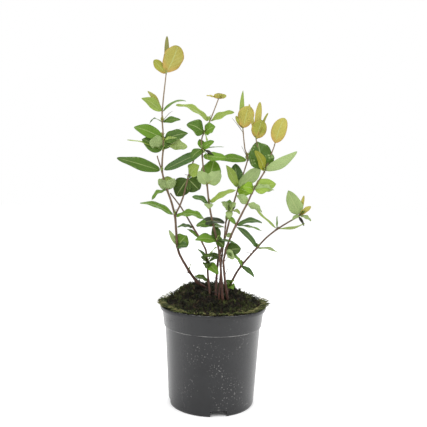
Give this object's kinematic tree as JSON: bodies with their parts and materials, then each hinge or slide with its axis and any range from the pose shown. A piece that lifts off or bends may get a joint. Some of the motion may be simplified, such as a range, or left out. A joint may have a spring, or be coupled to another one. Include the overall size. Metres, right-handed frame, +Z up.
{
  "type": "potted tutsan",
  "caption": "Young leafy shrub with several thin red stems, standing in a round grey nursery pot heaped with mossy compost.",
  "frame": {"origin": "middle of the pot's flat underside, at mount base", "axes": "+Z up along the pot; +X to the right and +Y away as the plant is seen from its front"},
  "size_m": [0.3191, 0.17, 0.5885],
  "materials": {
    "grey_plastic": "matt, faintly dusty",
    "compost": "rough",
    "red_bark": "smooth thin bark",
    "young_leaf": "soft satin",
    "light_leaf": "soft satin",
    "dark_leaf": "soft satin"
  },
  "bodies": {
    "root": {"pot": "grey_plastic", "compost": "compost", "stem_left": "red_bark", "stem_cross": "red_bark", "stem_centre": "red_bark", "stem_inner": "red_bark", "stem_short": "red_bark", "stem_right": "red_bark", "branch_low": "red_bark", "fork_left": "red_bark", "side_left": "red_bark", "tine_inner": "red_bark", "tine_outer": "red_bark", "tip_left": "young_leaf", "pair_left_high": "light_leaf", "collar_left": "dark_leaf", "crown_left": "dark_leaf", "wisp_left": "dark_leaf", "pair_left_long": "dark_leaf", "fold_left": "light_leaf", "pair_left_mid": "dark_leaf", "pair_left_low": "dark_leaf", "pair_cross": "dark_leaf", "centre_left": "dark_leaf", "bud_centre": "young_leaf", "pair_centre_high": "young_leaf", "crown_centre": "dark_leaf", "cluster_centre": "dark_leaf", "pair_centre_low": "dark_leaf", "low_centre": "dark_leaf", "arch_leaf": "dark_leaf", "rosette_inner": "light_leaf", "tip_inner": "young_leaf", "pair_inner_high": "dark_leaf", "pair_inner_mid": "light_leaf", "tip_right_inner": "young_leaf", "tip_right_outer": "young_leaf", "pair_right_high": "light_leaf", "pair_right_mid": "light_leaf", "pair_right_low": "light_leaf", "narrow_right": "dark_leaf", "low_right": "dark_leaf", "pair_branch_low": "light_leaf", "pair_branch_mid": "light_leaf", "pair_branch_high": "light_leaf", "tip_branch": "young_leaf", "pair_centre_mid": "light_leaf", "foot_leaves": "dark_leaf", "shoot_low": "dark_leaf"}
  },
  "joints": []
}
